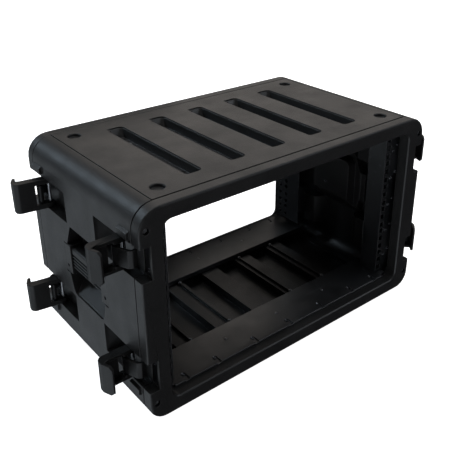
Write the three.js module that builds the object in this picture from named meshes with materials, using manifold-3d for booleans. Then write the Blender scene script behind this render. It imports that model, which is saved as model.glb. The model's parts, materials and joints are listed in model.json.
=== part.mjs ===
// Six-unit 19-inch equipment rack case: the moulded body without its two lids.
// Millimetres, +Z up, the front opening towards -Y, the origin on the floor under the centre.
import * as THREE from "three";
import { mergeVertices } from "three/addons/utils/BufferGeometryUtils.js";
import Module from "manifold-3d";

const wasm = await Module();
wasm.setup();

// ---------------------------------------------------------------- driving dimensions
const bodyWidth = 566; // side face to side face
const bodyDepth = 336; // front face to rear face
const bodyHeight = 336; // without the feet
const footHeight = 4;
const midZ = footHeight + bodyHeight / 2; // the body is symmetric about this height
const halfW = bodyWidth / 2;
const halfD = bodyDepth / 2;
const halfH = bodyHeight / 2;

const gap = 0.3; // between pieces that touch
const seamGap = 1.5; // open joint round the flat panels
const endGap = 0.8; // open joint between the side panels and the end frames
const wall = 4; // moulded wall
const edgeRadius = 34; // roll between the sides and the top
const lowRadius = 27; // roll between the sides and the bottom
const seamX = halfW - edgeRadius + 1; // seam between the side panels and the flat panels
const seamY = 148.5; // seam between the panels and the end frames

const openingHalfW = 245; // clear opening of the end frames
const openingHalfH = 142.5;
const openingRadius = 13;
const openingDraft = 1.6; // how much wider the opening is at the front face, each side
const faceFillet = 3; // rounding of the end frames' outer edge

const recessLow = 65; // latch recesses and frame notches, above and below the middle
const recessHigh = 115;
const recessMid = (recessLow + recessHigh) / 2;
const recessDepth = 17;
const notchDepth = 16.5;

const latchAxisX = halfW - 7; // lever hinge axis
const latchAxisY = 115;
const leverHeight = 49.2;
const leverReach = 54.5; // axis to the outside of the curled end
const curlReach = 26; // how far the curled end stands out of the lever
const hookAxisX = -13.5; // hook hinge on the lever, from the lever axis, lever open
const hookLength = 32;
const hookAngleOpen = 17.5; // degrees inwards from the lid's direction, lever square to the side
const hookAnglePerDegree = 27.5 / 90; // extra turn for each degree that the lever is opened further
// Each lever hangs open a little further than square to the side, in degrees.
const leverSwing = {
  front_left_upper: 0,
  front_left_lower: 0,
  front_right_upper: 9,
  front_right_lower: 25,
  rear_left_upper: 8,
  rear_left_lower: 8,
  rear_right_upper: 5,
  rear_right_lower: 5,
};

const unit = 44.45; // height of one rack unit
const unitCount = 6;
const rackHoleX = 465.1 / 2;
const rackHole = 9.5; // square holes for cage nuts
const railInnerX = 225; // half the clear width between the rails
const railFaceY = 138;
const frontWebDepth = 36; // how far the rails' webs run into the case
const rearWebDepth = 65;
const rearRailLow = 16; // the rear rails end this far above and below the cross plates
const steel = 2; // sheet thickness of the rails and cross plates
const plateTopZ = midZ - 139; // top face of the lower cross plates
const hemWidth = 21; // the plates' doubled front edge
const hemDepth = 3;
const plateNotchDepth = 1.8;

const slotPitch = 79;
const slotWidth = 33;
const slotLength = 227;
const slotDepth = 16;
const slopeWidth = 6; // sloped edge along each slot's left side
const slopeDepth = 2.5;
const dimpleX = 223;
const dimpleY = 120;

const gripAxisX = halfW - 12;
const gripAxisZ = 14; // above the middle
const gripHalfLength = 46;
const pocketDepth = 42; // finger well behind the grip
const wellHalfLength = 42;
const trayDepth = 22; // the pocket above and beside the well
const bracketDepth = 20;

// ---------------------------------------------------------------- solids
// Axis maps turn a flat outline (u, v) and a height w into x, y, z.
const alongX = (u, v, w) => new THREE.Vector3(w, u, v); // outline in YZ
const alongY = (u, v, w) => new THREE.Vector3(u, w, v); // outline in XZ
const alongZ = (u, v, w) => new THREE.Vector3(u, v, w); // outline in XY

function toSolid(geometry) {
  const bare = new THREE.BufferGeometry();
  bare.setAttribute("position", geometry.getAttribute("position"));
  if (geometry.index) bare.setIndex(geometry.index);
  const merged = mergeVertices(bare, 1e-3);
  const vertProperties = new Float32Array(merged.getAttribute("position").array);
  const triVerts = new Uint32Array(merged.index.array);
  const mesh = new wasm.Mesh({ numProp: 3, vertProperties, triVerts });
  return new wasm.Manifold(mesh);
}

function toGeometry(solid) {
  const mesh = solid.getMesh();
  const geometry = new THREE.BufferGeometry();
  geometry.setAttribute("position", new THREE.BufferAttribute(new Float32Array(mesh.vertProperties), 3));
  geometry.setIndex(new THREE.BufferAttribute(new Uint32Array(mesh.triVerts), 1));
  geometry.computeVertexNormals();
  return geometry;
}

const anticlockwise = (outline) => (THREE.ShapeUtils.area(outline) < 0 ? [...outline].reverse() : outline);

// A solid through matching outlines, one at each height of levels [{ outline, at }].
function loft(given, map) {
  const levels = given.map(({ outline, at }) => ({ outline: anticlockwise(outline), at }));
  const base = levels[0].outline;
  const count = base.length;
  const positions = [];
  for (const { outline, at } of levels) {
    for (const p of outline) positions.push(...map(p.x, p.y, at).toArray());
  }
  const index = [];
  const caps = THREE.ShapeUtils.triangulateShape(base, []);
  const top = (levels.length - 1) * count;
  for (const [a, b, c] of caps) index.push(a, c, b, top + a, top + b, top + c);
  for (let level = 0; level + 1 < levels.length; level += 1) {
    for (let i = 0; i < count; i += 1) {
      const a = level * count + i;
      const b = level * count + ((i + 1) % count);
      index.push(a, b, b + count, a, b + count, a + count);
    }
  }
  // The map and the order of the levels decide whether the faces point out.
  const flips = map(1, 0, 0).cross(map(0, 1, 0)).dot(map(0, 0, 1)) < 0;
  const upside = levels[levels.length - 1].at < levels[0].at;
  if (flips !== upside) {
    for (let i = 0; i < index.length; i += 3) [index[i + 1], index[i + 2]] = [index[i + 2], index[i + 1]];
  }
  const geometry = new THREE.BufferGeometry();
  geometry.setAttribute("position", new THREE.Float32BufferAttribute(positions, 3));
  geometry.setIndex(index);
  return toSolid(geometry);
}

const taper = (start, from, end, to, map) =>
  loft([{ outline: start, at: from }, { outline: end, at: to }], map);
const prism = (outline, from, to, map) => taper(outline, from, outline, to, map);

function box(x0, x1, y0, y1, z0, z1) {
  const geometry = new THREE.BoxGeometry(Math.abs(x1 - x0), Math.abs(y1 - y0), Math.abs(z1 - z0));
  geometry.translate((x0 + x1) / 2, (y0 + y1) / 2, (z0 + z1) / 2);
  return toSolid(geometry);
}

const circle = (cx, cy, r, sides) =>
  Array.from({ length: sides }, (_, i) => {
    const a = ((i + 0.5) / sides) * 2 * Math.PI;
    return new THREE.Vector2(cx + r * Math.cos(a), cy + r * Math.sin(a));
  });

const rod = (u, v, r, from, to, map, sides = 12) => prism(circle(u, v, r, sides), from, to, map);

// An outline of corners [u, v, radius], run anticlockwise, with each corner rounded.
function rounded(corners, steps = 2) {
  const points = [];
  corners.forEach(([u, v, radius = 0], i) => {
    const here = new THREE.Vector2(u, v);
    if (radius <= 0) {
      points.push(here);
      return;
    }
    const [pu, pv] = corners[(i + corners.length - 1) % corners.length];
    const [nu, nv] = corners[(i + 1) % corners.length];
    const back = new THREE.Vector2(pu - u, pv - v).normalize();
    const ahead = new THREE.Vector2(nu - u, nv - v).normalize();
    const half = Math.acos(THREE.MathUtils.clamp(back.dot(ahead), -1, 1)) / 2;
    const reach = radius / Math.tan(half);
    const centre = back.clone().add(ahead).normalize().multiplyScalar(radius / Math.sin(half)).add(here);
    const start = here.clone().addScaledVector(back, reach).sub(centre);
    const end = here.clone().addScaledVector(ahead, reach).sub(centre);
    const turn = Math.atan2(start.cross(end), start.dot(end));
    for (let k = 0; k <= steps; k += 1) {
      points.push(start.clone().rotateAround(new THREE.Vector2(), (turn * k) / steps).add(centre));
    }
  });
  return points;
}

function roundRect(halfU, halfV, radius, steps = 2) {
  const corners = [[-1, -1], [1, -1], [1, 1], [-1, 1]];
  return rounded(corners.map(([su, sv]) => [su * halfU, sv * halfV, radius]), steps);
}

const shift = (outline, du, dv) => outline.map((p) => new THREE.Vector2(p.x + du, p.y + dv));

const union = (solids) => solids.reduce((sum, solid) => sum.add(solid));
const without = (solid, cuts) => cuts.reduce((rest, cut) => rest.subtract(cut), solid);

// ---------------------------------------------------------------- materials
const plastic = { color: 0x1d1d1e, roughness: 0.62, metalness: 0 };
const latchPlastic = { color: 0x161617, roughness: 0.55, metalness: 0 };
const gripRubber = { color: 0x1b1b1c, roughness: 0.75, metalness: 0 };
const blackSteel = { color: 0x17181a, roughness: 0.42, metalness: 0.6 };
const pinSteel = { color: 0x55575a, roughness: 0.35, metalness: 0.9 };
const footRubber = { color: 0x121212, roughness: 0.85, metalness: 0 };

function part(name, solid, finish) {
  const mesh = new THREE.Mesh(toGeometry(solid), new THREE.MeshStandardMaterial(finish));
  mesh.name = name;
  return mesh;
}

function place(child, x, y, z, rotation = {}) {
  const group = new THREE.Group();
  group.add(child);
  group.position.set(x, y, z);
  group.rotation.set(rotation.x ?? 0, rotation.y ?? 0, rotation.z ?? 0);
  return group;
}

// ---------------------------------------------------------------- end frames
// Made for the front, about the body's middle: a hollow rim, open behind, with latch notches.
const frameScrewX = halfW - 11;
const frameScrewZ = 138;
const screwSink = 6; // depth of the screws' counterbores

function endFrame() {
  const outer = (inset) => {
    const [w, h, low, high] = [halfW - inset, halfH - inset, lowRadius - inset, edgeRadius - inset];
    return rounded([[-w, -h, low], [w, -h, low], [w, h, high], [-w, h, high]], 6);
  };
  const fillet = [0, 0.4, 1].map((t) => {
    const angle = (t * Math.PI) / 2;
    const inset = faceFillet * (1 - Math.cos(angle));
    return { outline: outer(inset), at: -halfD + faceFillet * (1 - Math.sin(angle)) };
  });
  const seam = [{ outline: outer(1.2), at: -seamY }, { outline: outer(0), at: -seamY - 1.5 }];
  let frame = loft([...seam, ...fillet], alongY);
  const opening = (grow) => roundRect(openingHalfW + grow, openingHalfH + grow, openingRadius + grow, 5);
  const lip = taper(opening(openingDraft - 0.4), -halfD + 2, opening(openingDraft + 2.6), -halfD - 1, alongY);
  frame = frame.subtract(taper(opening(0), -seamY + 1, opening(openingDraft), -halfD - 1, alongY));
  frame = frame.subtract(lip);
  const hollow = prism(outer(wall), -seamY + 1, -halfD + 5, alongY);
  frame = frame.subtract(hollow.subtract(prism(opening(wall), -seamY + 2, -halfD, alongY)));
  const cuts = [];
  const fills = [];
  for (const sx of [-1, 1]) {
    for (const sz of [-1, 1]) {
      const inner = sx * (halfW - notchDepth);
      const face = sx * (halfW + 1);
      const [low, high] = [sz * (recessLow - wall), sz * (recessHigh + wall)];
      fills.push(box(inner - sx * wall, sx * (halfW - 1), -seamY, -halfD + 4, low, high));
      cuts.push(box(inner, face, -seamY + 1, -halfD - 1, sz * recessLow, sz * recessHigh));
      // The notch's inner wall is open to the hollow rim.
      const hollowSide = inner - sx * (wall + 1);
      cuts.push(box(inner, hollowSide, -seamY + 1, -halfD + 5, sz * (recessLow + 3), sz * (recessHigh - 3)));
      fills.push(rod(sx * frameScrewX, sz * frameScrewZ, 7, -halfD + 4, -seamY, alongY, 8));
      cuts.push(rod(sx * frameScrewX, sz * frameScrewZ, 5, -halfD - 1, -halfD + screwSink, alongY, 16));
      cuts.push(rod(sx * frameScrewX, sz * frameScrewZ, 2.4, -halfD - 1, -seamY + 1, alongY, 8));
    }
  }
  return without(union([frame, ...fills]), cuts);
}

function frameScrew() {
  const head = rod(0, 0, 3.8, screwSink - 2.3, screwSink - gap, alongY, 12);
  const drive = rod(0, 0, 2, 0, screwSink - 1.3, alongY, 6);
  return head.add(rod(0, 0, 1.9, screwSink - 0.5, 15, alongY, 6)).subtract(drive);
}

// ---------------------------------------------------------------- flat panels
// Outer face at height 0, inside below it.
function flatPanel(isTop) {
  const slots = [-2, -1, 0, 1, 2].map((k) => k * slotPitch);
  const ribs = [-150, -70, 70, 150];
  // Each slot is a deep trough with a sloped left edge, and a box of the moulding's skin under it.
  // The trough runs out to the slot's rear end, where its wall slopes.
  const outline = (x, left, right, front, rear, radius) => {
    const [x0, x1] = [x - slotWidth / 2 + left, x + slotWidth / 2 - right];
    const [y0, y1] = [front - slotLength / 2, slotLength / 2 - rear];
    return rounded([[x0, y0, radius], [x1, y0, radius], [x1, y1, radius], [x0, y1, radius]], 4);
  };
  const spread = slopeWidth * (1 + 1 / slopeDepth); // so that the slope meets the surface at the outline
  const edge = (x) =>
    taper(outline(x, slopeWidth, 1.5, 1.5, 0.5, 7), -slopeDepth,
      outline(x, slopeWidth - spread, 0.9, 0.9, 0.3, 9), 1, alongZ);
  const trough = (x) =>
    taper(outline(x, slopeWidth + 2, 4, 5, 11, 5), -slotDepth,
      outline(x, slopeWidth, 1.5, 1.5, 0, 7), 1, alongZ);
  const [skinHalfW, skinHalfL, skinLow] = [slotWidth / 2 + 1, slotLength / 2 + 1, -slotDepth - 3];
  let panel = prism(roundRect(seamX - seamGap, seamY - seamGap, 0), -wall, 0, alongZ);
  for (const x of slots) {
    panel = panel.add(box(x - skinHalfW, x + skinHalfW, -skinHalfL, skinHalfL, skinLow, -2));
  }
  for (const x of ribs) {
    panel = panel.add(box(x - 1.5, x + 1.5, -78, 78, -24, -2));
  }
  for (const x of slots) {
    panel = panel.subtract(edge(x).add(trough(x)));
  }
  for (const sx of [-1, 1]) {
    for (const sy of [-1, 1]) {
      const [x, y] = [sx * dimpleX, sy * dimpleY];
      if (isTop) {
        const dimple = taper(circle(x, y, 9.8, 20), -5, circle(x, y, 10.6, 20), 0.5, alongZ)
          .add(taper(circle(x, y, 10.3, 20), -1.2, circle(x, y, 12.5, 20), 1, alongZ));
        panel = panel.add(rod(x, y, 14, -9, -2, alongZ)).subtract(dimple);
      } else {
        const footHole = rod(x, y, 3.4, -12, 1, alongZ, 8);
        panel = panel.add(rod(x, y, 7, -9, -2, alongZ, 8)).subtract(footHole);
      }
    }
  }
  return panel;
}

function foot() {
  const pad = loft(
    [
      { outline: circle(0, 0, 9, 16), at: 0 },
      { outline: circle(0, 0, 10.5, 16), at: 1.2 },
      { outline: circle(0, 0, 10.5, 16), at: footHeight - gap },
    ],
    alongZ,
  );
  return pad.add(rod(0, 0, 2.8, 2, footHeight + 8, alongZ, 8));
}

// ---------------------------------------------------------------- side panels
// The left side, about the body's middle; the right one is the same piece turned round.
function shellProfile() {
  const rebate = wall + gap; // the flat panel's edge lies in it
  const profile = (inset, endX) => {
    const corner = (sign, radius) =>
      [0, 1, 2, 3, 4, 5, 6].map((k) => {
        const a = (k / 6) * (Math.PI / 2);
        const r = radius - inset;
        return [-halfW + radius - r * Math.sin(a), sign * (halfH - radius + r * Math.cos(a))];
      });
    const upper = corner(1, edgeRadius).slice(1);
    const lower = corner(-1, lowRadius).reverse();
    return [[endX, halfH - inset], ...upper, ...lower, [endX, -(halfH - inset)]];
  };
  const outside = profile(0, -seamX);
  const inside = profile(wall, -seamX + 0.02).reverse();
  const outline = [...outside, ...inside].map(([x, z]) => new THREE.Vector2(x, z));
  const endY = seamY - endGap;
  const shell = prism(outline, -endY, endY, alongY);
  const low = halfH - rebate - 3;
  const tongue = (sz) => box(-seamX - 4, -seamX + 8, -endY, endY, sz * low, sz * (low + 3));
  const root = (sz) => box(-seamX - 8, -seamX - 1, -endY, endY, sz * low, sz * (halfH - 2));
  return union([shell, tongue(1), root(1), tongue(-1), root(-1)]);
}

// Latch recess in plan, for the front end: shallow over the hinge, deep behind the lever's end.
function recessPlan(grow) {
  const floor = -halfW + recessDepth + grow;
  const deep = -halfW + 30 + grow;
  const end = -seamY + (grow > 0 ? endGap : -1);
  const out = grow > 0 ? -halfW + 1 : -halfW - 4;
  return rounded(
    [
      [out, end],
      [floor, end],
      [floor, -84 - grow * 0.5, 3],
      [deep, -78 - grow, 3],
      [deep, -54 + grow, 12],
      [-halfW + 6 + grow, -46 + grow, 3],
      [out, -45 + grow],
    ],
    2,
  );
}

function handlePocket(grow) {
  const out = grow > 0 ? -halfW + 1 : -halfW - 4;
  const deep = -halfW + pocketDepth + grow;
  const outline = rounded(
    [
      [-38 - grow, 62 + grow, 5],
      [-56 - grow, 24, 8],
      [-56 - grow, -26, 8],
      [-46 - grow, -62 - grow, 12],
      [46 + grow, -62 - grow, 12],
      [56 + grow, -26, 8],
      [56 + grow, 24, 8],
      [38 + grow, 62 + grow, 5],
    ],
    2,
  );
  const lowest = -61 - grow;
  const lip = -halfW + 3 + grow;
  const section = rounded([[out, lowest], [lip, lowest], [deep, -24 - grow, 12], [deep, 70], [out, 70]], 3);
  const depth = prism(section, -90, 90, alongY);
  // Full depth behind the middle of the grip only.
  const wellHalf = wellHalfLength + grow;
  const wellTop = 49 + grow;
  const [left, right] = [-wellHalf, wellHalf];
  const wellOutline = rounded([[left, -70], [right, -70], [right, wellTop, 10], [left, wellTop, 10]], 3);
  const well = prism(wellOutline, out, deep + 1, alongX);
  const tray = box(out, -halfW + trayDepth + grow, -70, 70, -70, 70);
  const pocket = prism(outline, out, deep, alongX).intersect(depth).intersect(well.add(tray));
  const seatX = -halfW + bracketDepth + grow;
  const seat = (sy) => box(out, seatX, sy * 40, sy * (66.3 + grow), -27.3 - grow, 25.3 + grow);
  return union([pocket, seat(1), seat(-1)]);
}

function sidePanel() {
  let solid = shellProfile();
  const cavities = [handlePocket(0)];
  solid = solid.add(handlePocket(3));
  const pinHole = (sy, sz) =>
    rod(-latchAxisX, sy * latchAxisY, 2.9, sz * (recessLow - 3.6), sz * (recessHigh + 3.6), alongZ, 8);
  for (const sy of [-1, 1]) {
    const plan = (grow) => recessPlan(grow).map((p) => new THREE.Vector2(p.x, -sy * p.y));
    for (const sz of [-1, 1]) {
      const from = Math.min(sz * recessLow, sz * recessHigh);
      const to = Math.max(sz * recessLow, sz * recessHigh);
      solid = solid.add(prism(plan(3), from - 5, to + 5, alongZ));
      cavities.push(prism(plan(0), from, to, alongZ), pinHole(sy, sz));
      for (const x of [-halfW + 4, -halfW + 9.5]) {
        cavities.push(box(x, x + 2.5, sy * 119, sy * 141, sz * (recessHigh - 1), sz * (recessHigh + 2.2)));
      }
      const lug = [[-halfW + 2, 118.5], [-halfW - 4.5, 121.5], [-halfW - 4.5, 130], [-halfW + 2, 133.5]];
      const outline = lug.map(([x, z]) => new THREE.Vector2(x, sz * z));
      solid = solid.add(prism(outline, sy * 118, sy * 144, alongY));
    }
  }
  return without(solid, cavities);
}

// ---------------------------------------------------------------- latches
// Latch frame: lever axis at the origin, outwards is -x, the lid is towards -y, lever open.
const leverBack = 7; // back face of the lever's web
const leverWeb = 4;

function lever() {
  const half = leverHeight / 2;
  const inner = -leverReach + leverWeb;
  const profile = rounded(
    [
      [6.9, -7, 6.8],
      [6.9, leverBack, 6.8],
      [-leverReach, leverBack, 9],
      [-leverReach, -8, 6],
      [-leverReach + 7, -curlReach, 1.5],
      [inner + 7, -curlReach, 1.5],
      [inner + 1, -7, 2],
    ],
    3,
  );
  const tray = rounded([[-18, -8], [-18, 3], [inner, 3, 6], [inner, -8]], 3);
  const cuts = [
    prism(tray, -half + 4.5, half - 4.5, alongZ),
    box(8, -22.5, -8, 8, -half + 8, half - 8),
    rod(0, 0, 2.9, -half - 1, half + 1, alongZ, 10),
    rod(hookAxisX, 0, 2.4, -half + 2, half - 2, alongZ, 8),
  ];
  // The curled end narrows towards its tip.
  for (const sz of [-1, 1]) {
    const corner = [[-curlReach - 1, half - 6], [-curlReach + 6, half + 1], [-curlReach - 1, half + 1]];
    const outline = corner.map(([y, z]) => new THREE.Vector2(y, sz * z));
    cuts.push(prism(outline, -leverReach - 1, inner + 9, alongX));
  }
  return without(prism(profile, -half, half, alongZ), cuts);
}

// The hook, from its own axis: a plate towards the lid that ends in an inward claw.
function hook() {
  const half = 13.5;
  const outline = rounded(
    [
      [-4.2, 1],
      [-5.2, -12, 14],
      [-4.4, -hookLength + 6, 3],
      [0.5, -hookLength, 4],
      [8, -hookLength],
      [8, -hookLength + 3.6],
      [0.4, -hookLength + 4.4, 3],
      [-1.2, -14, 14],
      [0.5, 1],
    ],
    2,
  );
  const barrel = rod(0, 0, 4.3, -half, half, alongZ, 12);
  const stubs = rod(0, 0, 2, -half - 6.5, half + 6.5, alongZ, 8);
  return union([prism(outline, -half, half, alongZ), barrel, stubs]);
}

function latch(tag) {
  const swing = THREE.MathUtils.degToRad(leverSwing[tag]);
  const group = new THREE.Group();
  group.add(part(`latch_pin_${tag}`, rod(0, 0, 2.5, -28.2, 28.2, alongZ, 12), pinSteel));
  const leverMesh = part(`latch_lever_${tag}`, lever(), latchPlastic);
  leverMesh.rotation.z = swing;
  group.add(leverMesh);
  const hookMesh = part(`latch_hook_${tag}`, hook(), latchPlastic);
  hookMesh.position.set(hookAxisX * Math.cos(swing), hookAxisX * Math.sin(swing), 0);
  hookMesh.rotation.z = THREE.MathUtils.degToRad(hookAngleOpen + leverSwing[tag] * hookAnglePerDegree);
  group.add(hookMesh);
  return group;
}

// ---------------------------------------------------------------- handles
// Handle frame: pin axis through the origin along y, outwards is -x.
function grip() {
  const grooves = 4;
  const [top, bottom, outer, inner] = [7.5, -30, -9.5, 8];
  const corners = [[inner, bottom, 5], [inner, top, 5], [outer, top, 4]];
  for (let i = 0; i < grooves; i += 1) {
    const z = top - 13 - 6 * i;
    corners.push([outer, z + 2.1], [outer + 3.2, z + 1.6], [outer + 3.2, z - 1.6], [outer, z - 2.1]);
  }
  corners.push([outer, bottom, 4]);
  const bar = prism(rounded(corners, 3), -gripHalfLength, gripHalfLength, alongY);
  const relief = rod(0, 0, 7.2, gripHalfLength - 12, gripHalfLength + 1, alongY, 12);
  return without(bar, [rod(0, 0, 2.9, -60, 60, alongY, 10), relief]);
}

function handleBracket(sy) {
  const [x0, x1] = [-halfW + gripAxisX, -halfW + bracketDepth + gripAxisX - gap];
  const z = [-27 - gripAxisZ, 25 - gripAxisZ];
  const outline = rounded([[x0, z[0], 3], [x1, z[0], 2], [x1, z[1], 2], [x0, z[1], 3]], 3);
  const block = prism(outline, sy * (gripHalfLength + 0.5), sy * (gripHalfLength + 20), alongY);
  const screwWell = rod(sy * (gripHalfLength + 12), -gripAxisZ - 14, 3, x0 - 1, x0 + 2, alongX, 10);
  return without(block, [rod(0, 0, 2.9, sy * 40, sy * 70, alongY, 10), screwWell]);
}

function handle(tag) {
  const group = new THREE.Group();
  group.add(part(`handle_grip_${tag}`, grip(), gripRubber));
  group.add(part(`handle_pin_${tag}`, rod(0, 0, 2.5, -65.8, 65.8, alongY, 12), pinSteel));
  const spring = rod(0, 0, 6.3, gripHalfLength - 11, gripHalfLength, alongY, 12);
  group.add(part(`handle_spring_${tag}`, spring.subtract(rod(0, 0, 3.1, 20, 60, alongY, 12)), pinSteel));
  group.add(part(`handle_bracket_a_${tag}`, handleBracket(1), plastic));
  group.add(part(`handle_bracket_b_${tag}`, handleBracket(-1), plastic));
  return group;
}

// ---------------------------------------------------------------- rack rails and cross plates
// The left rail of one end, made for the front, about the body's middle.
function rackRail(webDepth, low, webHoles) {
  const half = midZ - plateTopZ - gap - low;
  const web = box(-railInnerX - steel, -railInnerX, -railFaceY, -railFaceY + webDepth, -half, half);
  const flange = box(-262, -railInnerX, -railFaceY, -railFaceY + steel, -half, half);
  const cuts = [];
  const base = (-unitCount * unit) / 2;
  for (let u = 0; u < unitCount; u += 1) {
    for (const offset of [6.35, 22.225, 38.1]) {
      const z = base + u * unit + offset;
      if (Math.abs(z) > half - 4.5) continue;
      const [left, right] = [-rackHoleX - rackHole / 2, -rackHoleX + rackHole / 2];
      cuts.push(box(left, right, -railFaceY - 1, -railFaceY + 3, z - rackHole / 2, z + rackHole / 2));
      if (!webHoles) continue;
      for (const y of [-railFaceY + 11, -railFaceY + 28]) {
        cuts.push(rod(y, z, 4.6, -railInnerX - 3, -railInnerX + 1, alongX, 6));
      }
    }
  }
  return without(web.add(flange), cuts);
}

// The front lower cross plate, its top face at height 0.
function crossPlate() {
  const [front, back] = [-152, -80];
  const width = 244;
  const section = rounded([
    [front, -hemDepth],
    [front + hemWidth, -hemDepth],
    [front + hemWidth, -steel],
    [back - steel, -steel],
    [back - steel, -9],
    [back, -9],
    [back, 0, 1.5],
    [front, 0, 1.8],
  ]);
  const plate = prism(section, -width, width, alongX);
  const cuts = [-209, -150, -74, 0, 74, 150, 209].map((x) => {
    const [mouth, end] = [front - 1, front + 17];
    const notch = rounded([[x - 4, mouth], [x + 4, mouth], [x + 4, end, 3.8], [x - 4, end, 3.8]], 3);
    return prism(notch, -plateNotchDepth, 1, alongZ);
  });
  // The front corners clear the rounded corners of the frame's opening.
  for (const sx of [-1, 1]) cuts.push(box(sx * 231, sx * 250, -160, -147.8, -10, 5));
  return without(plate, cuts);
}

// ---------------------------------------------------------------- assembly
const halfTurn = Math.PI;
const rackCase = new THREE.Group();
const body = new THREE.Group(); // about the body's middle
body.position.z = midZ;
rackCase.add(body);

body.add(part("front_frame", endFrame(), plastic));
body.add(place(part("rear_frame", endFrame(), plastic), 0, 0, 0, { z: halfTurn }));
body.add(part("left_side_panel", sidePanel(), plastic));
body.add(place(part("right_side_panel", sidePanel(), plastic), 0, 0, 0, { z: halfTurn }));
body.add(place(part("top_panel", flatPanel(true), plastic), 0, 0, halfH));
body.add(place(part("bottom_panel", flatPanel(false), plastic), 0, 0, -halfH, { x: halfTurn }));

// Turns that carry a front left piece to the other three corners.
const corners = [
  { end: "front", side: "left", sx: -1, sy: -1, turn: {} },
  { end: "front", side: "right", sx: 1, sy: -1, turn: { y: halfTurn } },
  { end: "rear", side: "left", sx: -1, sy: 1, turn: { x: halfTurn } },
  { end: "rear", side: "right", sx: 1, sy: 1, turn: { z: halfTurn } },
];

for (const { end, side, sx, sy, turn } of corners) {
  rackCase.add(place(part(`foot_${end}_${side}`, foot(), footRubber), sx * dimpleX, sy * dimpleY, 0));
  const isFront = end === "front";
  const rail = isFront ? rackRail(frontWebDepth, 0, false) : rackRail(rearWebDepth, rearRailLow, true);
  body.add(place(part(`rail_${end}_${side}`, rail, blackSteel), 0, 0, 0, turn));
  for (const [level, sz] of [["upper", 1], ["lower", -1]]) {
    const [x, y] = [sx * latchAxisX, sy * latchAxisY];
    body.add(place(latch(`${end}_${side}_${level}`), x, y, sz * recessMid, turn));
    const screw = part(`frame_screw_${end}_${side}_${level}`, frameScrew(), pinSteel);
    const facing = isFront ? {} : { z: halfTurn };
    body.add(place(screw, sx * frameScrewX, sy * halfD, sz * frameScrewZ, facing));
  }
}

const plateDrop = midZ - plateTopZ;
const plates = [
  ["front_lower", -plateDrop, {}],
  ["rear_lower", -plateDrop, { z: halfTurn }],
  ["front_upper", plateDrop, { y: halfTurn }],
  ["rear_upper", plateDrop, { x: halfTurn }],
];
for (const [tag, z, turn] of plates) {
  body.add(place(part(`cross_plate_${tag}`, crossPlate(), blackSteel), 0, 0, z, turn));
}

body.add(place(handle("left"), -gripAxisX, 0, gripAxisZ));
// Turned about Z so that the right grip hangs the same way up.
body.add(place(handle("right"), gripAxisX, 0, gripAxisZ, { z: halfTurn }));

export default rackCase;
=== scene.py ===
"""Looks of the six-unit equipment rack case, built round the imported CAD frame. Metres, +Z up."""

import json
import math

import bmesh
import bpy
from mathutils import Matrix, Vector


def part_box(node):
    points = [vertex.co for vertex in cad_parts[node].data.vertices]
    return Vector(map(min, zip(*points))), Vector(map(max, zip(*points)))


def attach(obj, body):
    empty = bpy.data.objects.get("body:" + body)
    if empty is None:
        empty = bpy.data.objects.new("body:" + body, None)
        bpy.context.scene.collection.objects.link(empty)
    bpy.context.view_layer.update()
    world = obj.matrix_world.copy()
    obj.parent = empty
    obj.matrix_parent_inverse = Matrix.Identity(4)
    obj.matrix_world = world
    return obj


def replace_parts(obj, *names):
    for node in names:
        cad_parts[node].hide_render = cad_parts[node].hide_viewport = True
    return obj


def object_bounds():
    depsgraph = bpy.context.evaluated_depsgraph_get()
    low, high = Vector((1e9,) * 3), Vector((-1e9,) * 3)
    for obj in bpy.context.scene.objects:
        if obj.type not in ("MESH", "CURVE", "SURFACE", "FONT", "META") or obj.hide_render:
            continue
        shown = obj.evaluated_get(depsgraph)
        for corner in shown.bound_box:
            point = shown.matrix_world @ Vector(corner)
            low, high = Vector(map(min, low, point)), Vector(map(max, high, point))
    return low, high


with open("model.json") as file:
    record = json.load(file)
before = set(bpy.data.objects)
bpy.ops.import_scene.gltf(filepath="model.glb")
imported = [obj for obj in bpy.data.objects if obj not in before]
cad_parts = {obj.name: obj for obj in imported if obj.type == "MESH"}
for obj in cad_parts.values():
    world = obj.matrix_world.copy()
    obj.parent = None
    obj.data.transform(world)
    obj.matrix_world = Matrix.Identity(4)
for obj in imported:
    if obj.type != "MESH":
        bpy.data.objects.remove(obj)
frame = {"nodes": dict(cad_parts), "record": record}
cad_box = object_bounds()
nodes = frame["nodes"]

ENDS = {"front": -1, "rear": 1}
SIDES = {"left": -1, "right": 1}
LEVELS = {"upper": 1, "lower": -1}
MM = 0.001

# Softened edges: bevel widths in millimetres, and the angles that decide what is rounded and smoothed.
EDGE_WIDTH = {"case_plastic": 0.5, "latch_plastic": 0.6, "grip_plastic": 0.25, "black_steel": 0.25,
              "pin_steel": 0.15, "foot_rubber": 0.4}
FINE_EDGES = ("case_plastic", "latch_plastic")  # these get one segment more
BEVEL_ABOVE = math.radians(32)
SMOOTH_BELOW = math.radians(40)
SLIVER = {"case_plastic": 0.4}  # vertices nearer than this are merged, in millimetres
SLIVER_ELSEWHERE = 0.02

# Small hardware, in millimetres from the middle of the case unless another datum is named.
NOTCH_X = (-209, -150, -74, 0, 74, 150, 209)
NOTCH_SCREW_BACK = 14.5  # behind the cross plate's edge
NOTCH_SCREW_SUNK = 1.6
RIVET_X = (-109, 0, 109)
RIVET_BACK = 38.5
FIN_X = (-150, -70, 70, 150)
FIN_SCREW_Y = 73.5
POCKET_BACK = 238.0  # inner face of the handle pockets
POCKET_SCREW_Y = 12.0
POCKET_SCREW_DROP = 6.0
RAIL_SCREW_PITCH = 52.0
RAIL_SCREW_COLUMNS = ((243.5, 0.0), (255.0, 9.0))  # distance out, and how far the column is lifted


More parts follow.
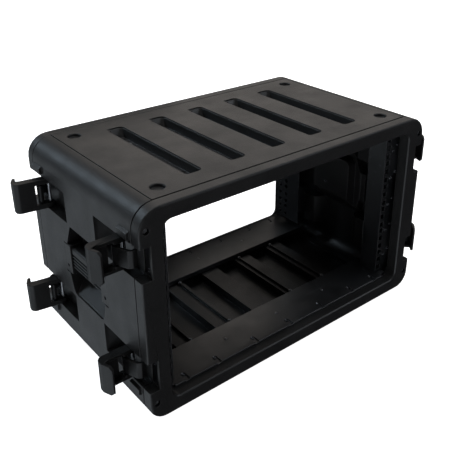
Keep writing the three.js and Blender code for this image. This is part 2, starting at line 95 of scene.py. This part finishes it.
# ---------------------------------------------------------------- materials
class Nodes:
    """A short way to write a material's nodes."""

    def __init__(self, name):
        self.material = bpy.data.materials.new(name)
        self.material.use_nodes = True
        self.tree = self.material.node_tree
        self.shader = self.tree.nodes["Principled BSDF"]
        self.place = self.add("ShaderNodeTexCoord").outputs["Object"]

    def add(self, kind, **values):
        node = self.tree.nodes.new(kind)
        for key, value in values.items():
            setattr(node, key, value)
        return node

    def link(self, source, target):
        self.tree.links.new(source, target)

    def noise(self, scale, detail=2.0, stretch=None, rough=0.5):
        node = self.add("ShaderNodeTexNoise")
        node.inputs["Scale"].default_value = scale
        node.inputs["Detail"].default_value = detail
        node.inputs["Roughness"].default_value = rough
        self.link(self.stretched(stretch), node.inputs["Vector"])
        return node.outputs["Fac"]

    def cells(self, scale):
        node = self.add("ShaderNodeTexVoronoi", feature="F1")
        node.inputs["Scale"].default_value = scale
        self.link(self.place, node.inputs["Vector"])
        return node.outputs["Distance"]

    def stretched(self, stretch):
        if stretch is None:
            return self.place
        mapping = self.add("ShaderNodeMapping")
        mapping.inputs["Scale"].default_value = stretch
        self.link(self.place, mapping.inputs["Vector"])
        return mapping.outputs["Vector"]

    def ramp(self, source, low, high, out_low, out_high):
        """Source from low to high becomes out_low to out_high, a number or a colour."""
        node = self.add("ShaderNodeValToRGB")
        steps = node.color_ramp.elements
        steps[0].position, steps[1].position = low, high
        for step, value in zip(steps, (out_low, out_high)):
            step.color = (*value, 1) if isinstance(value, tuple) else (value, value, value, 1)
        self.link(source, node.inputs["Fac"])
        return node.outputs["Color"]

    def mix(self, fac, a, b, blend="MIX"):
        node = self.add("ShaderNodeMix", data_type="RGBA", blend_type=blend)
        for socket, value in ((node.inputs[0], fac), (node.inputs[6], a), (node.inputs[7], b)):
            if isinstance(value, bpy.types.NodeSocket):
                self.link(value, socket)
            elif isinstance(value, tuple):
                socket.default_value = (*value, 1)
            else:
                socket.default_value = value
        return node.outputs[2]

    def add_up(self, a, b, share):
        node = self.add("ShaderNodeMath", operation="MULTIPLY_ADD")
        self.link(b, node.inputs[0])
        node.inputs[1].default_value = share
        self.link(a, node.inputs[2])
        return node.outputs[0]

    def bump(self, height, depth):
        node = self.add("ShaderNodeBump")
        node.inputs["Distance"].default_value = depth
        node.inputs["Strength"].default_value = 1.0
        self.link(height, node.inputs["Height"])
        self.link(node.outputs["Normal"], self.shader.inputs["Normal"])

    def edges(self, reach):
        """1 within reach of an edge, where handling polishes the surface and where a painted highlight
        stands in for edge glints, and 0 on flat ground.
        """
        rounded = self.add("ShaderNodeBevel", samples=4)
        rounded.inputs["Radius"].default_value = reach
        likeness = self.add("ShaderNodeVectorMath", operation="DOT_PRODUCT")
        self.link(rounded.outputs["Normal"], likeness.inputs[0])
        self.link(self.add("ShaderNodeNewGeometry").outputs["Normal"], likeness.inputs[1])
        return self.ramp(likeness.outputs["Value"], 0.86, 0.985, 1.0, 0.0)


def moulded(name, dark, light, rough, grain, grain_depth, wear_and_glint, gloss=0.4):
    """Spark-eroded black plastic: pebbled grain, cloudy gloss, paler scuffs, and paler edges that are partly
    rubbed wear and partly a painted highlight.
    """
    n = Nodes(name)
    cloud = n.noise(9.0, 3.0)
    base = n.ramp(cloud, 0.3, 0.7, dark, light)
    speck = n.ramp(n.noise(grain * 0.6, 2.0), 0.45, 0.8, 0.0, 0.25)
    base = n.mix(speck, base, tuple(2.2 * c for c in light))
    scuff = n.ramp(n.noise(38.0, 6.0, (1.0, 0.14, 0.35), 0.62), 0.63, 0.74, 0.0, wear_and_glint)
    base = n.mix(scuff, base, tuple(3.2 * c for c in light))
    # Edges painted paler: partly rubbed wear, partly a painted highlight standing in for edge glints.
    edge_wear_and_glint_patches = n.ramp(n.noise(30.0, 3.0), 0.35, 0.65, 0.6 * wear_and_glint, 1.5 * wear_and_glint)
    rubbed_and_glint = n.mix(1.0, n.edges(0.0012), edge_wear_and_glint_patches, "MULTIPLY")
    base = n.mix(rubbed_and_glint, base, tuple(14 * c for c in light))
    n.link(base, n.shader.inputs["Base Color"])
    patches = n.ramp(n.noise(22.0, 4.0), 0.3, 0.72, rough - 0.06, rough + 0.07)
    n.link(n.mix(rubbed_and_glint, patches, (rough - 0.2,) * 3), n.shader.inputs["Roughness"])
    pebble = n.add_up(n.cells(grain), n.noise(grain * 2.1, 3.0), 0.5)
    n.bump(n.add_up(pebble, n.noise(6.0, 2.0), 0.6), grain_depth)
    n.shader.inputs["Specular IOR Level"].default_value = gloss
    return n.material


def black_steel():
    """Black powder coat over rolled steel: fine orange peel, a bluish sheen, and paler bluish edges that are
    partly rubbed wear and partly a painted highlight.
    """
    n = Nodes("powder_coated_steel")
    base = n.ramp(n.noise(14.0, 3.0), 0.3, 0.7, (0.004, 0.0045, 0.0052), (0.008, 0.009, 0.011))
    scratch = n.ramp(n.noise(90.0, 4.0, (0.06, 1.0, 1.0), 0.6), 0.66, 0.74, 0.0, 0.35)
    base = n.mix(scratch, base, (0.07, 0.075, 0.085))
    # Paler bluish edges: partly rubbed wear, partly a painted highlight standing in for edge glints.
    worn_and_glint_edges = n.mix(1.0, n.edges(0.0008), (0.6, 0.6, 0.6), "MULTIPLY")
    n.link(n.mix(worn_and_glint_edges, base, (0.12, 0.125, 0.135)), n.shader.inputs["Base Color"])
    n.link(n.ramp(n.noise(30.0, 4.0), 0.3, 0.7, 0.34, 0.48), n.shader.inputs["Roughness"])
    n.shader.inputs["Metallic"].default_value = 0.1
    n.shader.inputs["Specular IOR Level"].default_value = 0.9
    n.bump(n.noise(1400.0, 2.0), 0.00006)
    return n.material


def bare_steel(name, shade, rough):
    """Zinc-plated or blackened steel with fine turning marks and stains."""
    n = Nodes(name)
    dark = tuple(0.55 * c for c in shade)
    base = n.mix(n.ramp(n.noise(160.0, 4.0), 0.35, 0.7, 0.0, 1.0), dark, shade)
    stain = n.ramp(n.noise(45.0, 5.0), 0.55, 0.75, 0.0, 0.6)
    n.link(n.mix(stain, base, tuple(0.3 * c for c in shade)), n.shader.inputs["Base Color"])
    n.link(n.ramp(n.noise(220.0, 3.0), 0.3, 0.7, rough - 0.08, rough + 0.1), n.shader.inputs["Roughness"])
    n.shader.inputs["Metallic"].default_value = 0.9
    n.bump(n.noise(900.0, 2.0, (1.0, 1.0, 7.0)), 0.00005)
    return n.material


def studio_white():
    """Matte pale floor paper with the faintest mottling."""
    n = Nodes("floor_paper")
    mottled = n.ramp(n.noise(3.0, 4.0), 0.3, 0.7, (0.86, 0.86, 0.86), (0.89, 0.89, 0.89))
    n.link(mottled, n.shader.inputs["Base Color"])
    n.shader.inputs["Roughness"].default_value = 0.95
    n.shader.inputs["Emission Color"].default_value = (1, 1, 1, 1)
    n.shader.inputs["Emission Strength"].default_value = 1.0
    n.bump(n.noise(700.0, 3.0), 0.0001)
    return n.material


FINISHES = {
    "case_plastic": moulded("moulded_case_plastic", (0.0045, 0.0045, 0.0048), (0.008, 0.0078, 0.008),
                            rough=0.46, grain=750.0, grain_depth=0.00016, wear_and_glint=0.22),
    "latch_plastic": moulded("moulded_latch_plastic", (0.004, 0.004, 0.0042), (0.007, 0.007, 0.0072),
                             rough=0.44, grain=1100.0, grain_depth=0.0001, wear_and_glint=0.3, gloss=0.22),
    "grip_plastic": moulded("moulded_grip_plastic", (0.005, 0.005, 0.0053), (0.008, 0.008, 0.0085),
                            rough=0.5, grain=1300.0, grain_depth=0.00008, wear_and_glint=0.3),
    "black_steel": black_steel(),
    "pin_steel": bare_steel("plated_pin_steel", (0.24, 0.245, 0.255), 0.34),
    "foot_rubber": moulded("moulded_foot_rubber", (0.008, 0.008, 0.008), (0.012, 0.012, 0.012),
                           rough=0.78, grain=900.0, grain_depth=0.0001, wear_and_glint=0.1),
}
SCREW_FINISH = bare_steel("blackened_screw_steel", (0.10, 0.103, 0.11), 0.3)


# ---------------------------------------------------------------- mesh helpers
def smooth_by_angle(limit):
    """Geometry nodes that shade faces smooth, except across edges sharper than the limit."""
    name = f"smooth_by_{round(math.degrees(limit))}"
    if name in bpy.data.node_groups:
        return bpy.data.node_groups[name]
    group = bpy.data.node_groups.new(name, "GeometryNodeTree")
    group.interface.new_socket("Geometry", in_out="INPUT", socket_type="NodeSocketGeometry")
    group.interface.new_socket("Geometry", in_out="OUTPUT", socket_type="NodeSocketGeometry")
    start = group.nodes.new("NodeGroupInput")
    end = group.nodes.new("NodeGroupOutput")
    faces = group.nodes.new("GeometryNodeSetShadeSmooth")
    sharp = group.nodes.new("GeometryNodeSetShadeSmooth")
    sharp.domain = "EDGE"
    sharp.inputs["Shade Smooth"].default_value = False
    angle = group.nodes.new("GeometryNodeInputMeshEdgeAngle")
    test = group.nodes.new("FunctionNodeCompare")
    test.operation = "GREATER_THAN"
    test.inputs[1].default_value = limit
    group.links.new(start.outputs[0], faces.inputs["Geometry"])
    group.links.new(faces.outputs[0], sharp.inputs["Geometry"])
    group.links.new(angle.outputs[0], test.inputs[0])
    group.links.new(test.outputs[0], sharp.inputs["Selection"])
    group.links.new(sharp.outputs[0], end.inputs[0])
    return group


def soften(piece, width, segments, merge):
    """Merges a faceted solid's slivers, rounds its edges and shades it smoothly."""
    weld = piece.modifiers.new("weld", "WELD")
    weld.merge_threshold = merge
    bevel = piece.modifiers.new("rounded_edges", "BEVEL")
    bevel.width = width
    bevel.segments = segments
    bevel.limit_method = "ANGLE"
    bevel.angle_limit = BEVEL_ABOVE
    bevel.use_clamp_overlap = False
    bevel.miter_outer = "MITER_ARC"
    shade = piece.modifiers.new("smooth", "NODES")
    shade.node_group = smooth_by_angle(SMOOTH_BELOW)
    normals = piece.modifiers.new("flat_normals", "WEIGHTED_NORMAL")
    normals.keep_sharp = True


def paint(piece, material):
    piece.data.materials.clear()
    piece.data.materials.append(material)


def piece_from(name, bm, body, slot, material=None):
    """A smooth, finished piece from a bmesh, riding on a body."""
    mesh = bpy.data.meshes.new(name)
    bm.normal_update()
    bm.to_mesh(mesh)
    bm.free()
    piece = bpy.data.objects.new(name, mesh)
    bpy.context.scene.collection.objects.link(piece)
    for polygon in mesh.polygons:
        polygon.use_smooth = True
    paint(piece, material or FINISHES[slot])
    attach(piece, body)
    return piece


def lathe(bm, profile, matrix, sides=32):
    """Turns a profile of (radius, height) about Z, closed on the axis at both ends."""
    rings = []
    for radius, height in profile:
        if radius < 1e-9:
            rings.append([bm.verts.new(matrix @ Vector((0, 0, height)))])
            continue
        turns = (2 * math.pi * k / sides for k in range(sides))
        rings.append([bm.verts.new(matrix @ Vector((radius * math.cos(a), radius * math.sin(a), height)))
                      for a in turns])
    for low, high in zip(rings, rings[1:]):
        for k in range(sides):
            following = (k + 1) % sides
            corners = []
            for ring, index in ((low, k), (low, following), (high, following), (high, k)):
                vertex = ring[index % len(ring)]
                if vertex not in corners:
                    corners.append(vertex)
            if len(corners) > 2:
                bm.faces.new(corners)


def facing(point, direction):
    """A placement at a point with its own Z along a direction."""
    turn = Vector(direction).to_track_quat("Z", "Y").to_matrix().to_4x4()
    return Matrix.Translation(Vector(point)) @ turn


def screw_head(bm, point, direction, radius, height, drive=True):
    """A domed head with a sunk round drive socket unless drive is off, standing on a surface at a point."""
    matrix = facing(point, direction)
    rim = 0.25 * height
    top = [(radius * math.sin(a), rim + (height - rim) * math.cos(a)) for a in
           (math.radians(d) for d in (90, 72, 54, 40))]
    profile = [(0, -0.2 * height), (radius * 0.96, -0.2 * height), (radius, 0)] + top
    if drive:
        socket = 0.5 * radius
        crown = profile[-1][1]
        profile += [(socket, crown), (socket * 0.94, crown - 0.5 * height), (0, crown - 0.55 * height)]
        lathe(bm, profile, matrix, 24)
    else:
        lathe(bm, profile + [(radius * 0.3, height * 0.985), (0, height)], matrix, 20)


# ---------------------------------------------------------------- CAD nodes that stay
def finish_cad_nodes():
    """Gives every CAD node its finish and softened edges, by the record's material slots."""
    for entry in frame["record"]["subparts"]:
        slot = entry["material_slot"]
        node = nodes[entry["node"]]
        paint(node, FINISHES[slot])
        segments = 3 if slot in FINE_EDGES else 2
        merge = SLIVER.get(slot, SLIVER_ELSEWHERE)
        soften(node, EDGE_WIDTH[slot] * MM, segments, merge * MM)


# ---------------------------------------------------------------- small hardware
def centre_z():
    low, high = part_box("front_frame")
    return (low.z + high.z) / 2


def plate_hardware():
    """The screws in the cross plates' notches, and the rivets behind them."""
    for end, sy in ENDS.items():
        for level, sz in LEVELS.items():
            low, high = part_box(f"cross_plate_{end}_{level}")
            face = high.z if sz < 0 else low.z
            edge = low.y if sy < 0 else high.y
            bm = bmesh.new()
            for x in NOTCH_X:
                point = (x * MM, edge - sy * NOTCH_SCREW_BACK * MM, face + sz * NOTCH_SCREW_SUNK * MM)
                screw_head(bm, point, (0, 0, -sz), 3.1 * MM, 2.2 * MM)
            piece_from(f"plate_screws_{end}_{level}", bm, "case", "pin_steel", SCREW_FINISH)
            bm = bmesh.new()
            for x in RIVET_X:
                point = (x * MM, edge - sy * RIVET_BACK * MM, face)
                screw_head(bm, point, (0, 0, -sz), 2.6 * MM, 1.2 * MM, False)
            piece_from(f"plate_rivets_{end}_{level}", bm, "case", "pin_steel")


def frame_screws():
    """Pan-head screws at the bottom of the end frames' counterbores."""
    turned = [(0, -15.0), (1.9, -15.0), (1.9, -5.8), (3.9, -5.75), (4.05, -5.4), (4.05, -4.7), (3.8, -4.1),
              (3.2, -3.75), (2.3, -3.7), (2.0, -3.9), (1.9, -5.1), (0, -5.2)]
    profile = [(radius * MM, depth * MM) for radius, depth in turned]
    for end, sy in ENDS.items():
        low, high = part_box(f"{end}_frame")
        face = low.y if sy < 0 else high.y
        for side in SIDES:
            for level in LEVELS:
                node = f"frame_screw_{end}_{side}_{level}"
                low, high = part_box(node)
                middle = (low + high) / 2
                bm = bmesh.new()
                lathe(bm, profile, facing((middle.x, face, middle.z), (0, sy, 0)), 32)
                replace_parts(piece_from(f"{node}_turned", bm, "case", "pin_steel"), node)


def coil_springs():
    """Return springs of round wire round the handle pins."""
    turns, wire, sides, steps = 6, 1.1 * MM, 8, 20
    for side in SIDES:
        spring = f"handle_spring_{side}"
        low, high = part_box(spring)
        middle = (low + high) / 2
        radius = (high.z - low.z) / 2 - wire
        start, run = low.y + wire, high.y - low.y - 2 * wire
        bm = bmesh.new()
        rings = []
        for k in range(turns * steps + 1):
            a = 2 * math.pi * k / steps
            outward = Vector((math.cos(a), 0, math.sin(a)))
            centre = Vector((middle.x, start + run * k / (turns * steps), middle.z)) + radius * outward
            turn = (2 * math.pi * j / sides for j in range(sides))
            rings.append([bm.verts.new(centre + wire * (math.cos(t) * outward + Vector((0, math.sin(t), 0))))
                          for t in turn])
        for ring, following in zip(rings, rings[1:]):
            for j in range(sides):
                m = (j + 1) % sides
                bm.faces.new((ring[j], following[j], following[m], ring[m]))
        bm.faces.new(list(reversed(rings[0])))
        bm.faces.new(rings[-1])
        bmesh.ops.recalc_face_normals(bm, faces=bm.faces)
        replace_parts(piece_from(f"{spring}_wire", bm, "case", "pin_steel"), spring)


def fin_screws():
    """Screws in small bosses at the ends of the flat panels' stiffening fins."""
    for panel, sz in (("top_panel", 1), ("bottom_panel", -1)):
        low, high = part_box(panel)
        tip = low.z if sz > 0 else high.z
        bm = bmesh.new()
        for x in FIN_X:
            for sy in (-1, 1):
                point = Vector((x * MM, sy * FIN_SCREW_Y * MM, tip))
                matrix = facing(point, (0, 0, -sz))
                boss = [(0, -8), (3.2, -8), (3.2, 0.2), (2.9, 0.5), (0, 0.5)]
                lathe(bm, [(r * MM, h * MM) for r, h in boss], matrix, 20)
                screw_head(bm, point - Vector((0, 0, sz * 0.5 * MM)), (0, 0, -sz), 2.4 * MM, 1.6 * MM)
        piece_from(f"fin_screws_{panel}", bm, "case", "pin_steel")


def pocket_screws():
    """A screw near the middle of each handle pocket's inner face."""
    for side, sx in SIDES.items():
        bm = bmesh.new()
        point = (POCKET_BACK * sx * MM, sx * POCKET_SCREW_Y * MM, centre_z() - POCKET_SCREW_DROP * MM)
        screw_head(bm, point, (-sx, 0, 0), 3.0 * MM, 1.4 * MM)
        piece_from(f"pocket_screw_{side}", bm, "case", "pin_steel", SCREW_FINISH)


def rail_hardware():
    """The screws that hold the rails' flanges to the case, in two columns beside the rack holes."""
    for end, sy in ENDS.items():
        for side, sx in SIDES.items():
            low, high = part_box(f"rail_{end}_{side}")
            face = low.y if sy < 0 else high.y
            bm = bmesh.new()
            for k in (-2, -1, 0, 1, 2):
                for x, lift in RAIL_SCREW_COLUMNS:
                    z = centre_z() + (k * RAIL_SCREW_PITCH + lift) * MM
                    screw_head(bm, (sx * x * MM, face, z), (0, sy, 0), 3.2 * MM, 1.8 * MM)
            piece_from(f"rail_screws_{end}_{side}", bm, "case", "pin_steel", SCREW_FINISH)


# ---------------------------------------------------------------- stage
CAMERA_AT = Vector((-0.6340, -0.8016, 0.7128))
CAMERA_YAW, CAMERA_PITCH, CAMERA_ROLL = 0.691, -0.426, 0.002
CAMERA_LENS = 52.04
CAMERA_SHIFT = (-0.0372, -0.1174)


def make_camera():
    forward = Vector((math.sin(CAMERA_YAW) * math.cos(CAMERA_PITCH),
                      math.cos(CAMERA_YAW) * math.cos(CAMERA_PITCH),
                      math.sin(CAMERA_PITCH)))
    level = Vector((math.cos(CAMERA_YAW), -math.sin(CAMERA_YAW), 0))
    upward = level.cross(forward)
    right = level * math.cos(CAMERA_ROLL) + upward * math.sin(CAMERA_ROLL)
    up = upward * math.cos(CAMERA_ROLL) - level * math.sin(CAMERA_ROLL)
    data = bpy.data.cameras.new("camera")
    data.sensor_width = 36
    data.lens = CAMERA_LENS
    data.shift_x, data.shift_y = CAMERA_SHIFT
    camera = bpy.data.objects.new("camera", data)
    bpy.context.scene.collection.objects.link(camera)
    camera.matrix_world = Matrix.Translation(CAMERA_AT) @ Matrix((right, up, -forward)).transposed().to_4x4()
    bpy.context.scene.camera = camera


def softbox(name, at, target, size, power, colour=(1, 1, 1)):
    data = bpy.data.lights.new(name, "AREA")
    data.shape = "RECTANGLE"
    data.size, data.size_y = size
    data.energy = power
    data.color = colour
    light = bpy.data.objects.new(name, data)
    bpy.context.scene.collection.objects.link(light)
    light.location = at
    light.visible_camera = False
    light.rotation_euler = (Vector(target) - Vector(at)).to_track_quat("-Z", "Y").to_euler()


def black_card(name, x, z, y):
    """An upright card behind the case that keeps the studio out of its inside; the camera sees past it."""
    centre = ((x[0] + x[1]) / 2, y, (z[0] + z[1]) / 2)
    size = (x[1] - x[0], z[1] - z[0])
    bm = bmesh.new()
    bmesh.ops.create_grid(bm, x_segments=4, y_segments=4, size=0.5)
    mesh = bpy.data.meshes.new(name)
    bm.to_mesh(mesh)
    bm.free()
    card = bpy.data.objects.new(name, mesh)
    bpy.context.scene.collection.objects.link(card)
    card.location = centre
    card.rotation_euler = (math.radians(90), 0, 0)
    card.scale = (size[0], size[1], 1)
    card.visible_camera = False
    n = Nodes("black_card")
    n.link(n.ramp(n.noise(20.0), 0.3, 0.7, 0.002, 0.004), n.shader.inputs["Base Color"])
    n.shader.inputs["Roughness"].default_value = 0.9
    paint(card, n.material)


def make_stage():
    bm = bmesh.new()
    bmesh.ops.create_grid(bm, x_segments=8, y_segments=8, size=14.0)
    mesh = bpy.data.meshes.new("floor")
    bm.to_mesh(mesh)
    bm.free()
    floor = bpy.data.objects.new("floor", mesh)
    floor.location.z = cad_box[0].z
    bpy.context.scene.collection.objects.link(floor)
    paint(floor, studio_white())
    # The case mirrors the studio round it and not the lit paper, as between dark flags.
    floor.visible_glossy = False
    black_card("low_flag", (-0.22, 0.32), (-0.25, 0.17), 0.25)
    black_card("high_flag", (-0.22, 0.05), (0.17, 0.385), 0.25)
    make_world()
    softbox("overhead", (0.0, 0.2, 2.6), (0, 0, 0.2), (2.6, 2.2), 30)
    softbox("back_warm", (1.5, 1.95, 1.6), (0, 0, 0.34), (3.0, 1.8), 15.5, (1.0, 0.92, 0.85))
    softbox("window", (-1.45, 1.9, 1.75), (-0.2, -0.1, 0.3), (0.45, 0.45), 20, (0.72, 0.87, 1.0))
    softbox("front_kick", (1.5, -1.3, 1.5), (0, -0.1, 0.3), (0.8, 0.8), 12, (0.86, 0.92, 1.0))


def make_world():
    """Faint grey light all round, brighter overhead, with cool light low to the left and at the front."""
    world = bpy.data.worlds.new("studio")
    bpy.context.scene.world = world
    world.use_nodes = True
    tree = world.node_tree
    direction = tree.nodes.new("ShaderNodeTexCoord").outputs["Generated"]

    def towards(aim, start, end, dark, light):
        along = tree.nodes.new("ShaderNodeVectorMath")
        along.operation = "DOT_PRODUCT"
        along.inputs[1].default_value = Vector(aim).normalized()
        tree.links.new(direction, along.inputs[0])
        ramp = tree.nodes.new("ShaderNodeValToRGB")
        low, high = ramp.color_ramp.elements
        low.position, low.color = start, (*dark, 1)
        high.position, high.color = end, (*light, 1)
        tree.links.new(along.outputs["Value"], ramp.inputs["Fac"])
        return ramp.outputs["Color"]

    def combined(operation, a, b):
        both = tree.nodes.new("ShaderNodeVectorMath")
        both.operation = operation
        tree.links.new(a, both.inputs[0])
        tree.links.new(b, both.inputs[1])
        return both.outputs["Vector"]

    ambient = towards((0, 0, 1), 0.0, 1.0, (0.03, 0.03, 0.034), (0.20, 0.20, 0.20))
    to_the_left = towards((-1, 0, 0), 0.22, 0.43, (0, 0, 0), (0.84, 0.93, 1.0))
    below = towards((0, 0, -1), 0.0, 0.1, (0, 0, 0), (1, 1, 1))
    left_pool = combined("MULTIPLY", to_the_left, below)
    front_pool = towards((-0.63, -0.57, -0.45), 0.80, 0.97, (0, 0, 0), (0.70, 0.74, 0.80))
    light = combined("ADD", combined("ADD", ambient, left_pool), front_pool)
    tree.links.new(light, tree.nodes["Background"].inputs["Color"])


finish_cad_nodes()
plate_hardware()
frame_screws()
fin_screws()
pocket_screws()
coil_springs()
rail_hardware()
make_camera()
make_stage()
bpy.context.scene.view_settings.view_transform = "Standard"
